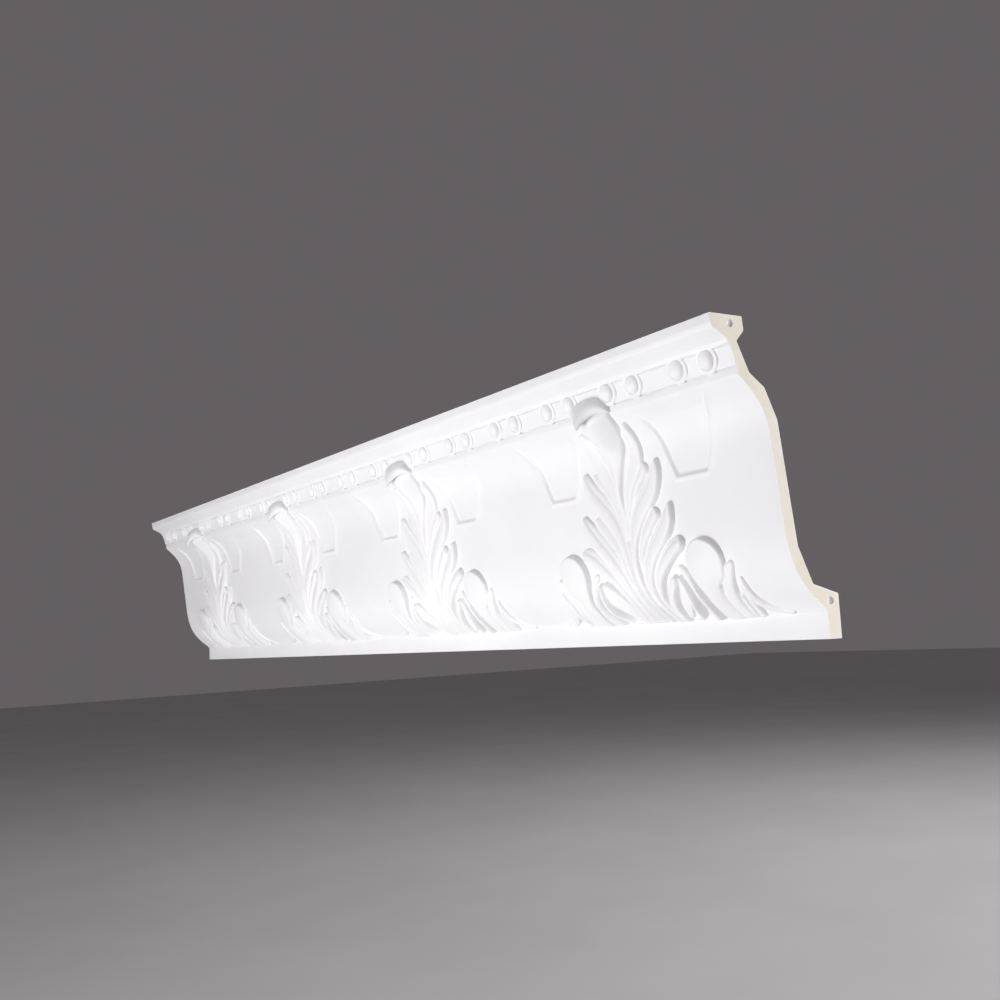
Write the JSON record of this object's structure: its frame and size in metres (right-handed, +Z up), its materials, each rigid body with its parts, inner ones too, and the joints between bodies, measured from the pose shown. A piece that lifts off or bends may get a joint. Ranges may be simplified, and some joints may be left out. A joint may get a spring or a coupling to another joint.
{
  "type": "cornice moulding length",
  "caption": "Moulded foam cornice length with a bead band, sunk panels and carved acanthus leaves, square cut at both ends.",
  "frame": {"origin": "middle of the flat strip that lies on the wall, half-way along the length", "axes": "+X along the length, +Y out of the back into the wall, +Z up towards the ceiling"},
  "size_m": [1.1428, 0.0874, 0.192],
  "materials": {
    "primed_foam": "satin"
  },
  "bodies": {
    "root": {"cornice_length": "primed_foam"}
  },
  "joints": []
}
